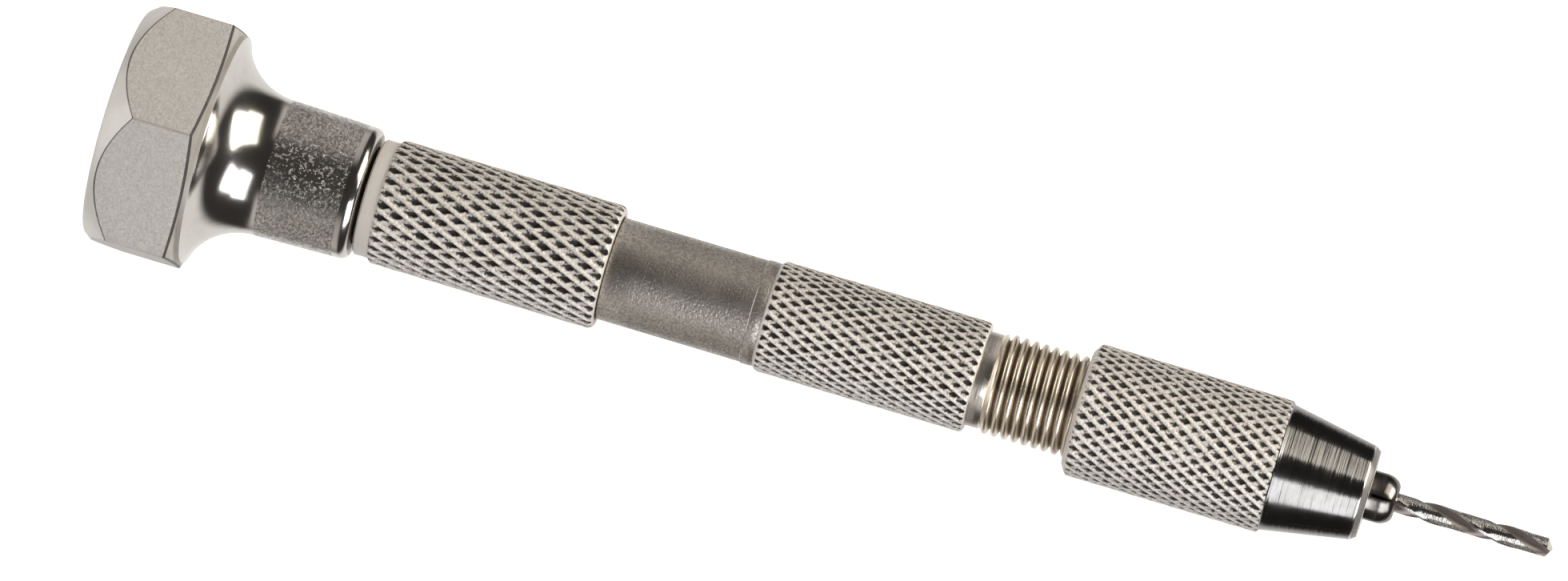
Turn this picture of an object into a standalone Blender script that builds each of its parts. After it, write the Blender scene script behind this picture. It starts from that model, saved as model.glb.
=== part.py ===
"""Pin vise: a small hand chuck with a hexagonal palm head that swivels.

The tool's axis is the X axis. The flat palm face is centred on the origin and
faces -X, the drill points along +X, and one flat of the hexagon faces down (-Z).
Stations along the axis are in millimetres from the palm face, and every point
is scaled to metres as it is made.
"""

import math

import bmesh
import bpy

MM = 0.001  # metres in a millimetre

# Roundness
THREAD_SIDES = 20  # columns round a threaded piece
HEAD_SIDES = 36
SMALL_SIDES = 20

# Swivel head
HEX_ACROSS_FLATS = 18.6
PALM_RADIUS = 8.84
PALM_CHAMFER_DEG = 37.9  # slope of the turned chamfer behind the hexagon
HEX_LENGTH = 7.60  # to the front edge in the middle of a flat
FRONT_CHAMFER = 0.31  # how far the front falls back for each millimetre further out
COLLAR_RADII = (9.12, 9.05)  # of the narrow collar between the hexagon and the flare
FLARE_RADIUS = 5.0  # concave sweep from the collar to the neck
FLARE_END = 12.63
NECK_RADII = (5.40, 5.21)
NECK_END = 19.92
WASHER_RECESS = (3.85, 0.40)  # radius, depth in the neck's end
PIVOT_HOLE = (1.60, 11.4)  # radius, station where it ends

# Washers and pivot screw
THRUST_WASHER = (19.59, 20.17, 2.0, 3.70)  # start, end, hole, outside
RETAINING_WASHER = (22.67, 23.17, 2.0, 2.95)
SCREW_TIP, SCREW_SHOULDER, SCREW_SEAT, SCREW_END = 11.8, 19.58, 23.24, 25.24
SCREW_RADII = (1.50, 1.88, 2.60)  # thread, shoulder, head
SCREW_SLOT = (0.60, 0.70)  # width, depth

# Rear sleeve
SLEEVE_START, SLEEVE_END = 20.24, 39.52
SLEEVE_RIM_RADIUS, SLEEVE_RIM_END = 4.575, 21.42
SLEEVE_RADIUS = 4.90
SLEEVE_WALL_END = 22.60
SLEEVE_HOLE = 2.0
SLEEVE_CAVITY = 3.30
SLEEVE_THREAD = (31.7, 39.2)

# Barrel
BARREL_START, BARREL_END = 30.9, 87.5
SHOULDER = 39.58
SHANK_RADIUS, SHANK_END = 4.03, 51.06
STEP_RADIUS, STEP_END = 4.10, 52.11
GRIP_RADIUS, GRIP_START, GRIP_END = 4.36, 52.51, 68.90
RELIEF_RADIUS, RELIEF_END = 3.72, 70.1
REAR_THREAD = (30.9, 38.6)
STORE_RADIUS, STORE_END = 2.75, 52.1
CORE_RADIUS = 1.70
COLLET_BORE = 2.75
BARREL_RADII_INSIDE = 2.03  # behind the collet seat

# Threads: pitch, root and crest radius of the male thread
FRONT_PITCH, FRONT_ROOT, FRONT_CREST = 0.79375, 3.42, 3.97
REAR_PITCH, REAR_ROOT, REAR_CREST = 0.75, 3.23, 3.75
CREST_HALF = 0.07  # half the crest's flat, as a share of the pitch
THREAD_CLEARANCE = 0.133  # radial play of the female thread

# Chuck nut
NUT_START, NUT_END = 76.88, 100.0
NUT_RADIUS, NUT_KNURL_END = 5.215, 92.65
NUT_REAR_RADIUS, NUT_CHAMFER_END = 4.47, 77.34
CONE_START, CONE_RADII, CONE_END = 93.0, (4.90, 3.72), 99.48
NUT_FACE_RADIUS = 3.36
NUT_THREAD = (77.2, 86.7)
NUT_CAVITY, NUT_CAVITY_END = 4.20, 89.1
NUT_TAPER_PLAY = 0.12

# Collets
COLLET_LENGTH = 25.4
COLLET_FRONT = 102.16
TIP_RADIUS, TIP_LENGTH, DOME_LENGTH = 1.95, 2.15, 1.25
BODY_RADIUS, TAPER_LENGTH = 2.60, 3.06
SEAT_PLAY = 0.08
SLIT_WIDTH, SLIT_LENGTH = 0.25, 9.0
SLIT_TURN_DEG = 33.0  # of the nose slits about the axis; the rear ones lie between them
COLLET_BORES = (0.88, 1.25)  # nose end, rear end
SPARE_BORES = (0.50, 1.40)
SPARE_START = 26.1

# Drill bit
DRILL_RADIUS = 0.79375
DRILL_START, DRILL_TIP = 66.95, 114.55
FLUTE_START, FLUTE_FADE, FLUTE_LEAD = 92.4, 1.8, 11.5
POINT_HALF_ANGLE_DEG = 59.0
DRILL_STEPS_PER_TURN = 16

NICKEL = (0.62, 0.60, 0.57)
DARK_STEEL = (0.36, 0.34, 0.32)
BRIGHT_STEEL = (0.50, 0.48, 0.45)
BRASS = (0.72, 0.56, 0.30)


for old in list(bpy.data.objects):
    bpy.data.objects.remove(old, do_unlink=True)

root = bpy.data.objects.new("pin_vise", None)
bpy.context.scene.collection.objects.link(root)


def face_out(bm):
    """Points every face of a closed bmesh out of the metal."""
    bmesh.ops.recalc_face_normals(bm, faces=bm.faces)
    if bm.calc_volume(signed=True) < 0:
        bmesh.ops.reverse_faces(bm, faces=bm.faces)


def make_object(name, bm, at, colour, roughness):
    """Turns a bmesh drawn in millimetres at its own station into an object whose origin lies on the tool's axis at that station."""
    face_out(bm)
    for v in bm.verts:
        v.co.x -= at
        v.co *= MM
    mesh = bpy.data.meshes.new(name)
    bm.to_mesh(mesh)
    bm.free()
    mesh.shade_smooth()
    mesh.set_sharp_from_angle(angle=math.radians(32))
    material = bpy.data.materials.new(name + "_metal")
    material.use_nodes = True
    shader = material.node_tree.nodes["Principled BSDF"]
    shader.inputs["Base Color"].default_value = (*colour, 1.0)
    shader.inputs["Metallic"].default_value = 1.0
    shader.inputs["Roughness"].default_value = roughness
    mesh.materials.append(material)
    obj = bpy.data.objects.new(name, mesh)
    bpy.context.scene.collection.objects.link(obj)
    obj.location = (at * MM, 0.0, 0.0)
    obj.parent = root
    return obj


def make_cutter(name, bm):
    """A hidden solid, in millimetres, that a Boolean reads."""
    face_out(bm)
    for v in bm.verts:
        v.co *= MM
    mesh = bpy.data.meshes.new(name)
    bm.to_mesh(mesh)
    bm.free()
    obj = bpy.data.objects.new(name, mesh)
    bpy.context.scene.collection.objects.link(obj)
    obj.hide_render = True
    obj.display_type = "WIRE"
    obj.parent = root
    return obj


def boolean(obj, cutter, operation):
    mod = obj.modifiers.new(cutter.name, "BOOLEAN")
    mod.operation = operation
    mod.solver = "EXACT"
    mod.object = cutter


def box(x0, x1, y, z, turn=0.0):
    """A block from x0 to x1, y and z wide, turned about the tool's axis."""
    bm = bmesh.new()
    bmesh.ops.create_cube(bm, size=1.0)
    c, s = math.cos(turn), math.sin(turn)
    for v in bm.verts:
        py, pz = v.co.y * y, v.co.z * z
        v.co = ((x0 + x1) / 2 + v.co.x * (x1 - x0), py * c - pz * s, py * s + pz * c)
    return bm


class Lathe:
    """Skins rings of points round the X axis; points that coincide are one vertex."""

    def __init__(self, sides):
        self.sides = sides
        self.bm = bmesh.new()
        self.made = {}

    def vertex(self, column, x, r):
        column %= self.sides
        key = (column if r > 1e-6 else -1, round(x, 6), round(r, 6))
        if key not in self.made:
            a = 2 * math.pi * column / self.sides
            self.made[key] = self.bm.verts.new((x, r * math.cos(a), r * math.sin(a)))
        return self.made[key]

    def face(self, corners):
        ring = []
        for v in corners:
            if v not in ring:
                ring.append(v)
        if len(ring) > 2:
            self.bm.faces.new(ring)

    def turn(self, points):
        """The surface swept by a line of (station, radius) points."""
        for (xa, ra), (xb, rb) in zip(points, points[1:]):
            for j in range(self.sides):
                self.face(
                    (
                        self.vertex(j, xa, ra),
                        self.vertex(j, xb, rb),
                        self.vertex(j + 1, xb, rb),
                        self.vertex(j + 1, xa, ra),
                    )
                )

    def thread(self, x0, x1, pitch, ridge, end0, end1, fade):
        """A right-hand thread from x0 to x1. ridge gives (phase, radius) over one pitch; at its ends the thread fades to the radii end0 and end1, so that plain rings can join it."""
        columns, per_turn = self.sides, len(ridge)
        base = (math.floor(x0 / pitch) - 1) * pitch

        def at(row, column):
            turn, k = divmod(row, per_turn)
            x = base + pitch * (turn + ridge[k][0] + column / columns)
            x = min(max(x, x0), x1)
            near, end = min((x - x0, end0), (x1 - x, end1))
            share = min(near / fade, 1.0)
            return self.vertex(column, x, end + (ridge[k][1] - end) * share)

        rows = per_turn * (math.ceil((x1 - base) / pitch) + 1)
        for row in range(rows):
            for j in range(columns):
                self.face((at(row, j), at(row + 1, j), at(row + 1, j + 1), at(row, j + 1)))


def male_ridge(root_radius, crest):
    """Sharp root at phase 0 and a flat crest about phase one half."""
    return [(0.0, root_radius), (0.5 - CREST_HALF, crest), (0.5 + CREST_HALF, crest)]


def female_ridge(root_radius, crest):
    """The groove that a male thread runs in, with play on its flanks."""
    slope = (crest - root_radius) / (0.5 - CREST_HALF)
    inner = root_radius + slope * CREST_HALF + THREAD_CLEARANCE
    outer = root_radius + slope * 0.5 + THREAD_CLEARANCE
    return [(0.0 + CREST_HALF, inner), (0.5, outer), (1.0 - CREST_HALF, inner)]


def turned(profile, sides, closed):
    """A plain turned piece from (station, radius) points, closed as a ring or ending on the axis."""
    work = Lathe(sides)
    work.turn(profile + profile[:1] if closed else profile)
    return work.bm


# Swivel head: a turned blank cut to a hexagon
hex_corner = HEX_ACROSS_FLATS / 2 / math.cos(math.radians(30))
blank = hex_corner + 0.12
chamfer_end = (blank - PALM_RADIUS) / math.tan(math.radians(PALM_CHAMFER_DEG))
flare_centre = NECK_RADII[0] + FLARE_RADIUS
flare_from = math.acos((flare_centre - COLLAR_RADII[1]) / FLARE_RADIUS)
front = [
    (HEX_LENGTH - (r - HEX_ACROSS_FLATS / 2) * FRONT_CHAMFER, r) for r in (blank, COLLAR_RADII[0])
]
profile = [(0.0, 0.0), (0.0, PALM_RADIUS), (chamfer_end, blank)] + front
for i in range(9):
    a = flare_from * (1 - i / 8)
    profile.append(
        (FLARE_END - FLARE_RADIUS * math.sin(a), flare_centre - FLARE_RADIUS * math.cos(a))
    )
recess_radius, recess_depth = WASHER_RECESS
profile += [
    (NECK_END - 0.62, NECK_RADII[1]),
    (NECK_END, NECK_RADII[1] - 0.44),
    (NECK_END, recess_radius),
    (NECK_END - recess_depth, recess_radius),
    (NECK_END - recess_depth, PIVOT_HOLE[0]),
    (PIVOT_HOLE[1], PIVOT_HOLE[0]),
    (PIVOT_HOLE[1] - PIVOT_HOLE[0] / math.tan(math.radians(59)), 0.0),
]
head = make_object("swivel_head", turned(profile, HEAD_SIDES, False), 0.0, NICKEL, 0.32)
hexagon = bmesh.new()
bmesh.ops.create_cone(
    hexagon,
    cap_ends=True,
    segments=6,
    radius1=hex_corner,
    radius2=hex_corner,
    depth=NECK_END + 6,
)
for v in hexagon.verts:
    x, y, z = v.co
    v.co = (z + NECK_END / 2, y, x)
# A flat faces down: the corners lie on the level line through the axis.
if max(abs(v.co.z) for v in hexagon.verts) > HEX_ACROSS_FLATS / 2 + 0.1:
    for v in hexagon.verts:
        v.co.y, v.co.z = v.co.z, -v.co.y
boolean(head, make_cutter("hexagon_stock", hexagon), "INTERSECT")


# Washers
def washer(name, size, colour):
    x0, x1, hole, outside = size
    ring = [(x0, hole), (x0, outside), (x1, outside), (x1, hole)]
    make_object(name, turned(ring, SMALL_SIDES, True), x0, colour, 0.35)


washer("thrust_washer", THRUST_WASHER, BRASS)
washer("retaining_washer", RETAINING_WASHER, BRIGHT_STEEL)

# Pivot screw, put in from inside the sleeve
thread_r, shoulder_r, screw_head_r = SCREW_RADII
profile = [
    (SCREW_TIP, 0.0),
    (SCREW_TIP, thread_r - 0.3),
    (SCREW_TIP + 0.3, thread_r),
    (SCREW_SHOULDER, thread_r),
    (SCREW_SHOULDER, shoulder_r),
    (SCREW_SEAT, shoulder_r),
    (SCREW_SEAT, screw_head_r),
    (SCREW_END - 0.3, screw_head_r),
    (SCREW_END, screw_head_r - 0.3),
    (SCREW_END, 0.0),
]
screw = make_object("pivot_screw", turned(profile, SMALL_SIDES, False), SCREW_TIP, DARK_STEEL, 0.35)
slot = box(SCREW_END - SCREW_SLOT[1], SCREW_END + 1.0, SCREW_SLOT[0], 4 * screw_head_r)
boolean(screw, make_cutter("screw_slot", slot), "DIFFERENCE")

# Rear sleeve
female = female_ridge(REAR_ROOT, REAR_CREST)
sleeve_groove = max(r for _, r in female) + 0.03
work = Lathe(THREAD_SIDES)
work.turn(
    [
        (SLEEVE_THREAD[0], sleeve_groove),
        (BARREL_START - 0.3, sleeve_groove),
        (BARREL_START - 0.3, SLEEVE_CAVITY),
        (SLEEVE_WALL_END, SLEEVE_CAVITY),
        (SLEEVE_WALL_END, SLEEVE_HOLE),
        (SLEEVE_START, SLEEVE_HOLE),
        (SLEEVE_START, SLEEVE_RIM_RADIUS - 0.2),
        (SLEEVE_START + 0.2, SLEEVE_RIM_RADIUS),
        (SLEEVE_RIM_END, SLEEVE_RIM_RADIUS),
        (SLEEVE_RIM_END + 0.25, SLEEVE_RADIUS),
        (SLEEVE_END - 0.2, SLEEVE_RADIUS),
        (SLEEVE_END, SLEEVE_RADIUS - 0.2),
        (SLEEVE_END, sleeve_groove),
        (SLEEVE_THREAD[1], sleeve_groove),
    ]
)
work.thread(*SLEEVE_THREAD, REAR_PITCH, female, sleeve_groove, sleeve_groove, 0.35)
make_object("rear_sleeve", work.bm, SLEEVE_START, NICKEL, 0.38)

# Barrel
taper = (BODY_RADIUS - TIP_RADIUS) / TAPER_LENGTH
collet_rear = COLLET_FRONT - COLLET_LENGTH
seat_end = collet_rear + TIP_LENGTH
seat_start = seat_end + (COLLET_BORE - TIP_RADIUS - SEAT_PLAY) / taper
work = Lathe(THREAD_SIDES)
work.turn(
    [
        (REAR_THREAD[1], REAR_ROOT),
        (SHOULDER, REAR_ROOT),
        (SHOULDER, SHANK_RADIUS - 0.1),
        (SHOULDER + 0.1, SHANK_RADIUS),
        (SHANK_END, SHANK_RADIUS),
        (SHANK_END + 0.05, STEP_RADIUS),
        (STEP_END, STEP_RADIUS),
        (GRIP_START, GRIP_RADIUS),
        (GRIP_END - 0.15, GRIP_RADIUS),
        (GRIP_END, GRIP_RADIUS - 0.15),
        (GRIP_END, RELIEF_RADIUS),
        (RELIEF_END, RELIEF_RADIUS),
    ]
)
work.thread(
    RELIEF_END,
    BARREL_END,
    FRONT_PITCH,
    male_ridge(FRONT_ROOT, FRONT_CREST),
    RELIEF_RADIUS,
    FRONT_ROOT - 0.07,
    0.45,
)
work.turn(
    [
        (BARREL_END, FRONT_ROOT - 0.07),
        (BARREL_END, COLLET_BORE + 0.15),
        (BARREL_END - 0.15, COLLET_BORE),
        (seat_start, COLLET_BORE),
        (seat_end, BARREL_RADII_INSIDE),
        (collet_rear - 0.6, BARREL_RADII_INSIDE),
        (collet_rear - 0.9, CORE_RADIUS),
        (STORE_END + 0.8, CORE_RADIUS),
        (STORE_END, STORE_RADIUS),
        (BARREL_START, STORE_RADIUS),
        (BARREL_START, REAR_ROOT - 0.08),
    ]
)
work.thread(
    *REAR_THREAD,
    REAR_PITCH,
    male_ridge(REAR_ROOT, REAR_CREST),
    REAR_ROOT - 0.08,
    REAR_ROOT,
    0.35,
)
make_object("barrel", work.bm, BARREL_START, NICKEL, 0.36)

# Chuck nut
female = female_ridge(FRONT_ROOT, FRONT_CREST)
nut_taper_start = COLLET_FRONT - TIP_LENGTH - (COLLET_BORE - TIP_RADIUS - NUT_TAPER_PLAY) / taper
nut_mouth = TIP_RADIUS + NUT_TAPER_PLAY + taper * (COLLET_FRONT - TIP_LENGTH - NUT_END)
work = Lathe(THREAD_SIDES)
work.turn(
    [
        (NUT_THREAD[0], NUT_CAVITY),
        (NUT_START, NUT_CAVITY + 0.1),
        (NUT_START, NUT_REAR_RADIUS),
        (NUT_CHAMFER_END, NUT_RADIUS),
        (NUT_KNURL_END, NUT_RADIUS),
        (NUT_KNURL_END + 0.1, CONE_RADII[0] + 0.09),
        (CONE_START, CONE_RADII[0]),
        (CONE_END, CONE_RADII[1]),
        (NUT_END, NUT_FACE_RADIUS),
        (NUT_END, nut_mouth),
        (nut_taper_start, COLLET_BORE),
        (NUT_CAVITY_END, COLLET_BORE),
        (NUT_CAVITY_END, NUT_CAVITY),
        (NUT_THREAD[1], NUT_CAVITY),
    ]
)
work.thread(*NUT_THREAD, FRONT_PITCH, female, NUT_CAVITY, NUT_CAVITY, 0.4)
make_object("chuck_nut", work.bm, NUT_START, NICKEL, 0.30)


# Collets: two split tips with a taper at each end, and a plain middle
def collet(name, start, bores):
    end = start + COLLET_LENGTH
    front_bore, rear_bore = bores

    def tip(bore):
        """(distance from the end, radius) over one domed tip and its taper"""
        rim = max(bore + 0.12, 1.1)
        line = [(0.0, bore + 0.05), (0.0, rim)]
        for i in range(1, 5):
            a = math.radians(90 * i / 4)
            line.append(
                (DOME_LENGTH * (1 - math.cos(a)), rim + (TIP_RADIUS - rim) * math.sin(a))
            )
        return line + [(TIP_LENGTH, TIP_RADIUS), (TIP_LENGTH + TAPER_LENGTH, BODY_RADIUS)]

    outside = [(start + d, r) for d, r in tip(rear_bore)]
    outside += [(end - d, r) for d, r in reversed(tip(front_bore))]
    middle = (start + end) / 2
    inside = [(end - 0.05, front_bore), (middle, front_bore)]
    inside += [(middle, rear_bore), (start + 0.05, rear_bore)]
    body = make_object(name, turned(outside + inside, SMALL_SIDES, True), start, DARK_STEEL, 0.25)
    reach = 4 * BODY_RADIUS
    for end_name, x0, x1, turn in (
        ("front", end - SLIT_LENGTH, end + 1, math.radians(SLIT_TURN_DEG)),
        ("rear", start - 1, start + SLIT_LENGTH, math.radians(SLIT_TURN_DEG + 45)),
    ):
        for n in range(2):
            slit = box(x0, x1, SLIT_WIDTH, reach, turn + n * math.pi / 2)
            boolean(body, make_cutter(f"{name}_{end_name}_slit_{n}", slit), "DIFFERENCE")
    return body


collet("collet", collet_rear, COLLET_BORES)
collet("spare_collet", SPARE_START, SPARE_BORES)


# Drill bit: a round shank, then two helical flutes and a conical point
def drill_section(share):
    """(angle, radius) round the drill; share 0 is the round shank and 1 the full flutes."""
    half = [(-42, 1.0), (-14, 1.0), (14, 1.0), (42, 1.0)]
    half += [(62, 0.60), (81, 0.38), (99, 0.38), (118, 0.60)]
    return [
        (math.radians(a + side), DRILL_RADIUS * (1 + (r - 1) * share))
        for side in (0, 180)
        for a, r in half
    ]


bm = bmesh.new()
slope = 1 / math.tan(math.radians(POINT_HALF_ANGLE_DEG))
flute_end = DRILL_TIP - DRILL_RADIUS * slope
steps = math.ceil((flute_end - FLUTE_START) / FLUTE_LEAD * DRILL_STEPS_PER_TURN)
stations = [DRILL_START, DRILL_START + 0.2]
stations += [FLUTE_START + (flute_end - FLUTE_START) * i / steps for i in range(steps + 1)]
rings = []
for i, x in enumerate(stations):
    share = min(max((x - FLUTE_START) / FLUTE_FADE, 0.0), 1.0)
    twist = 2 * math.pi * (x - flute_end) / FLUTE_LEAD
    small = 0.85 if i == 0 else 1.0
    ring = []
    for a, r in drill_section(share):
        cone = (DRILL_RADIUS - r) * slope if i == len(stations) - 1 else 0.0
        a += twist if x > FLUTE_START - 1 else 2 * math.pi * (FLUTE_START - flute_end) / FLUTE_LEAD
        ring.append(bm.verts.new((x + cone, small * r * math.cos(a), small * r * math.sin(a))))
    rings.append(ring)
for ra, rb in zip(rings, rings[1:]):
    for k in range(len(ra)):
        n = (k + 1) % len(ra)
        bm.faces.new((ra[k], rb[k], rb[n], ra[n]))
for ring, x in ((rings[0], DRILL_START), (rings[-1], DRILL_TIP)):
    centre = bm.verts.new((x, 0.0, 0.0))
    for k in range(len(ring)):
        bm.faces.new((ring[k], ring[(k + 1) % len(ring)], centre))
make_object("drill_bit", bm, DRILL_START, BRIGHT_STEEL, 0.30)
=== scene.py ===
import math

import bmesh
import bpy
import numpy as np
from mathutils import Matrix, Vector


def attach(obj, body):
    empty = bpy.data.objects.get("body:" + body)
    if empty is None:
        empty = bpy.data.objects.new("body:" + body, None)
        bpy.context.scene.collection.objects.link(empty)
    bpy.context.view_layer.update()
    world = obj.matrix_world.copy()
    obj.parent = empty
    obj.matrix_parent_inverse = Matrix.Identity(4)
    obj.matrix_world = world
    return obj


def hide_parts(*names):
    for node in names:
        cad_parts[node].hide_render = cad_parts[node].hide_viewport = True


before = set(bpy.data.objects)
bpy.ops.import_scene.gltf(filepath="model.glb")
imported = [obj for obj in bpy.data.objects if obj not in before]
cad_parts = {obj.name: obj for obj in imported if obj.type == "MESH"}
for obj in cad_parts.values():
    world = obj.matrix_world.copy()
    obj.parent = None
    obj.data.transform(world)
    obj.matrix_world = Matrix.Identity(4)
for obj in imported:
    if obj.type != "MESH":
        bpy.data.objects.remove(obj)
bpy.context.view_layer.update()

MM = 0.001
TAU = 2 * math.pi
scene = bpy.context.scene


# ---------------------------------------------------------------- mesh tools


class Ring:
    """One closed row of points round the axis."""

    def __init__(self, first, angles, x, r, v):
        self.idx = first + np.arange(len(angles))
        self.angles = angles
        self.x, self.r, self.v = x, r, v


class Skin:
    """A closed mesh grown ring by ring round the X axis, in millimetres.

    Outer surfaces run towards +X and bores back towards -X, so that every face
    points out of the metal.
    """

    def __init__(self):
        # cave_shade holds each point's share of painted shade, which the material darkens in hollows.
        self.co, self.cave_shade = [], []
        self.count = 0
        self.polys = {3: [], 4: []}
        self.run = 0.0
        self.last = None

    def ring(self, x, r, angles, cave_shade=0.0):
        n = len(angles)
        x = np.broadcast_to(np.asarray(x, float), (n,))
        r = np.broadcast_to(np.asarray(r, float), (n,))
        if self.last is not None:
            self.run += math.hypot(x.mean() - self.last[0], r.mean() - self.last[1])
        self.last = (x.mean(), r.mean())
        self.co.append(np.column_stack([x, r * np.cos(angles), r * np.sin(angles)]))
        self.cave_shade.append(np.broadcast_to(np.asarray(cave_shade, float), (n,)))
        made = Ring(self.count, angles, x, r, self.run)
        self.count += n
        return made

    def point(self, x):
        return self.ring(x, 0.0, np.zeros(1))

    def put(self, corners, u, v, slot):
        """Stores faces: arrays of vertex numbers and map coordinates, a row per face."""
        corners = np.asarray(corners)
        if len(corners):
            self.polys[corners.shape[1]].append(
                (corners, np.asarray(u, float), np.asarray(v, float), np.full(len(corners), slot))
            )

    def join(self, a, b, slot, split=None):
        """Skins ring a to ring b. split says for each quad which diagonal cuts it."""
        na, nb = len(a.idx), len(b.idx)
        ia, ib = np.append(a.idx, a.idx[0]), np.append(b.idx, b.idx[0])
        ua = np.append(a.angles, a.angles[0] + TAU) / TAU
        ub = np.append(b.angles, b.angles[0] + TAU) / TAU
        if na == 1 or nb == 1:
            if na == 1:
                tri = np.column_stack([np.full(nb, ia[0]), ib[1:], ib[:-1]])
                u = np.column_stack([(ub[1:] + ub[:-1]) / 2, ub[1:], ub[:-1]])
                v = np.column_stack([np.full(nb, a.v), np.full((nb, 2), b.v)])
            else:
                tri = np.column_stack([ia[:-1], ia[1:], np.full(na, ib[0])])
                u = np.column_stack([ua[:-1], ua[1:], (ua[1:] + ua[:-1]) / 2])
                v = np.column_stack([np.full((na, 2), a.v), np.full(na, b.v)])
            self.put(tri, u, v, slot)
            return b
        if na == nb and split is None:
            quad = np.column_stack([ia[:-1], ia[1:], ib[1:], ib[:-1]])
            u = np.column_stack([ua[:-1], ua[1:], ub[1:], ub[:-1]])
            v = np.column_stack([np.full((na, 2), a.v), np.full((na, 2), b.v)])
            self.put(quad, u, v, slot)
            return b
        if na == nb:
            j = np.arange(na)
            for want, tris in (
                (True, (((0, 0), (0, 1), (1, 1)), ((0, 0), (1, 1), (1, 0)))),
                (False, (((0, 0), (0, 1), (1, 0)), ((0, 1), (1, 1), (1, 0)))),
            ):
                k = j[split == want]
                for tri in tris:
                    self.put(
                        np.column_stack([(ib if row else ia)[k + step] for row, step in tri]),
                        np.column_stack([(ub if row else ua)[k + step] for row, step in tri]),
                        np.column_stack([np.full(len(k), b.v if row else a.v) for row, _ in tri]),
                        slot,
                    )
            return b
        i = j = 0
        tri, u, v = [], [], []
        while i < na or j < nb:
            if j >= nb or (i < na and ua[i + 1] <= ub[j + 1]):
                tri.append((ia[i], ia[i + 1], ib[j]))
                u.append((ua[i], ua[i + 1], ub[j]))
                v.append((a.v, a.v, b.v))
                i += 1
            else:
                tri.append((ia[i], ib[j + 1], ib[j]))
                u.append((ua[i], ub[j + 1], ub[j]))
                v.append((a.v, b.v, b.v))
                j += 1
        self.put(tri, u, v, slot)
        return b

    def close(self, last, first, slot):
        """Joins the last ring of a closed profile to its first one."""
        self.run += math.hypot(first.x.mean() - last.x.mean(), first.r.mean() - last.r.mean())
        again = Ring(0, first.angles, first.x, first.r, self.run)
        again.idx = first.idx
        self.join(last, again, slot)

    def path(self, start, points, angles, slot):
        """Sweeps a line of (station, radius) points; returns the last ring."""
        for x, r in points:
            start = self.join(start, self.ring(x, r, angles), slot) if start else self.ring(x, r, angles)
        return start

    def thread(self, low, high, pitch, ridge, fade, slot, bore=False, phase=0.0):
        """A right-hand thread between two rings of the same columns. ridge gives (phase, radius) over one pitch, and the thread fades out to the rings at its ends."""
        n, per = len(low.angles), len(ridge)
        x0, x1 = float(low.x[0]), float(high.x[0])
        r0, r1 = float(low.r[0]), float(high.r[0])
        base = (math.floor(x0 / pitch) - 1 + phase) * pitch
        rows = per * (math.ceil((x1 - base) / pitch) + 1)
        step = np.array([p for p, _ in ridge])
        radius = np.array([r for _, r in ridge])
        row = np.arange(rows + per + 1)
        col = np.arange(n)
        x = base + pitch * ((row // per + step[row % per])[:, None] + col[None, :] / n)
        inside = (x > x0 + 1e-6) & (x < x1 - 1e-6)
        x = np.clip(x, x0, x1)
        near_low = (x - x0) < (x1 - x)
        end = np.where(near_low, r0, r1)
        share = np.clip(np.where(near_low, x - x0, x1 - x) / fade, 0, 1)
        r = end + (radius[row % per][:, None] - end) * share
        idx = np.where(x < (x0 + x1) / 2, low.idx[None, :], high.idx[None, :])
        made = np.cumsum(inside.ravel()).reshape(inside.shape) - 1 + self.count
        idx = np.where(inside, made, idx)
        ang = np.broadcast_to(low.angles[None, :], x.shape)
        xs, rs, an = x[inside], r[inside], ang[inside]
        self.co.append(np.column_stack([xs, rs * np.cos(an), rs * np.sin(an)]))
        # Share of painted shade for the material: deepest in the thread's roots, fading out with the thread.
        crest, root = radius.max(), radius.min()
        depth = (radius[row % per][:, None] - root) / (crest - root) + np.zeros(x.shape)
        self.cave_shade.append((1 - depth if not bore else depth)[inside] * share[inside])
        self.count += len(xs)
        v0, v1 = low.v, high.v
        if abs(v1 - v0) > 1.5 * (x1 - x0):
            v1, self.run = self.run, self.run + (x1 - x0)
            v0 = self.run
        span = v0 + (x - x0) / (x1 - x0) * (v1 - v0)

        def corner(i, j):
            if j == n:
                i, j = i + per, 0
                return idx[i, j], 1.0, span[i, j]
            return idx[i, j], j / n, span[i, j]

        groups = {3: ([], [], []), 4: ([], [], [])}
        for i in range(rows):
            for j in range(n):
                quad = [corner(i, j), corner(i, j + 1), corner(i + 1, j + 1), corner(i + 1, j)]
                if bore:
                    quad.reverse()
                ring, seen = [], set()
                for c in quad:
                    if c[0] not in seen:
                        seen.add(c[0])
                        ring.append(c)
                if len(ring) > 2:
                    tri, u, v = groups[len(ring)]
                    tri.append([c[0] for c in ring])
                    u.append([c[1] for c in ring])
                    v.append([c[2] for c in ring])
        for corners, u, v in groups.values():
            self.put(corners, u, v, slot)

    def build(self, name, materials, crease=32):
        co = np.concatenate(self.co) * MM
        loops, uvs, starts, slots, at = [], [], [], [], 0
        for size, groups in self.polys.items():
            for corners, u, v, slot in groups:
                loops.append(corners.ravel())
                uvs.append(np.column_stack([u.ravel(), v.ravel() / self.run]))
                starts.append(at + size * np.arange(len(corners)))
                slots.append(slot)
                at += corners.size
        mesh = bpy.data.meshes.new(name)
        mesh.vertices.add(len(co))
        mesh.vertices.foreach_set("co", co.ravel())
        mesh.loops.add(at)
        mesh.loops.foreach_set("vertex_index", np.concatenate(loops).astype(np.int32))
        starts = np.concatenate(starts).astype(np.int32)
        mesh.polygons.add(len(starts))
        mesh.polygons.foreach_set("loop_start", starts)
        mesh.polygons.foreach_set("material_index", np.concatenate(slots).astype(np.int32))
        mesh.update(calc_edges=True)
        mesh.uv_layers.new(name="OFBake").data.foreach_set("uv", np.concatenate(uvs).ravel())
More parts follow.
